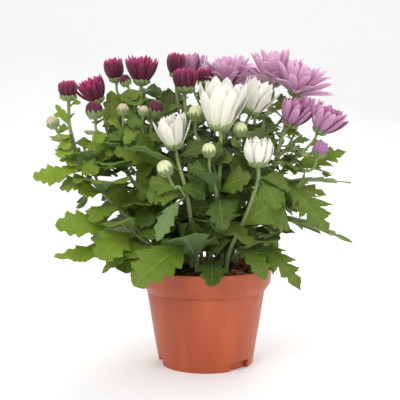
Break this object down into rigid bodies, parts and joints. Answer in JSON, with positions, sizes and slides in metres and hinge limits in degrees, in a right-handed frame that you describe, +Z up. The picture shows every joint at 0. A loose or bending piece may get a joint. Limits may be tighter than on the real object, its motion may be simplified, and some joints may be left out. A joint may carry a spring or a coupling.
{
  "type": "potted chrysanthemum",
  "caption": "Potted chrysanthemum with burgundy, white and lilac flower heads, buds and lobed leaves, in a round plastic grower's pot filled with soil.",
  "frame": {"origin": "centre of the pot's foot, on the plane that it stands on", "axes": "+Z up, the plant's front faces -Y, and +X is to the right of someone who looks at the front"},
  "size_m": [0.2812, 0.2063, 0.2893],
  "materials": {
    "pot": "satin",
    "soil": "matte",
    "stem": "satin",
    "burgundy": "matte",
    "white": "matte",
    "lilac": "matte",
    "green": "matte"
  },
  "bodies": {
    "root": {"bloom_burgundy_1": "burgundy", "bloom_burgundy_2": "burgundy", "bloom_burgundy_4": "burgundy", "bloom_burgundy_5": "burgundy", "bloom_burgundy_7": "burgundy", "bloom_burgundy_8": "burgundy", "bloom_burgundy_9": "burgundy", "bloom_burgundy_11": "burgundy", "bloom_burgundy_12": "burgundy", "bloom_white_1": "white", "bloom_white_2": "white", "bloom_white_3": "white", "bloom_white_4": "white", "bloom_white_5": "white", "bloom_white_6": "white", "bloom_lilac_1": "lilac", "bloom_lilac_2": "lilac", "bloom_lilac_3": "lilac", "bloom_lilac_4": "lilac", "bloom_lilac_5": "lilac", "bloom_lilac_6": "lilac", "bloom_lilac_8": "lilac", "bloom_lilac_9": "lilac", "bud_burgundy_3": "burgundy", "bud_burgundy_6": "burgundy", "bud_burgundy_10": "burgundy", "bud_lilac_7": "lilac", "bud_green_1": "green", "bud_green_2": "green", "bud_green_3": "green", "bud_green_4": "green", "bud_green_5": "green", "bud_green_6": "green", "bud_green_7": "green", "bud_green_8": "green", "pot": "pot", "soil": "soil", "stem_burgundy_1": "stem", "stem_burgundy_2": "stem", "stem_burgundy_5": "stem", "stem_burgundy_8": "stem", "stem_burgundy_10": "stem", "stem_burgundy_12": "stem", "stem_white_1": "stem", "stem_white_2": "stem", "stem_white_3": "stem", "stem_white_4": "stem", "stem_white_5": "stem", "stem_lilac_1": "stem", "stem_lilac_3": "stem", "stem_lilac_5": "stem", "stem_lilac_8": "stem", "stem_shoot_left": "stem", "stem_shoot_back": "stem"}
  },
  "joints": []
}
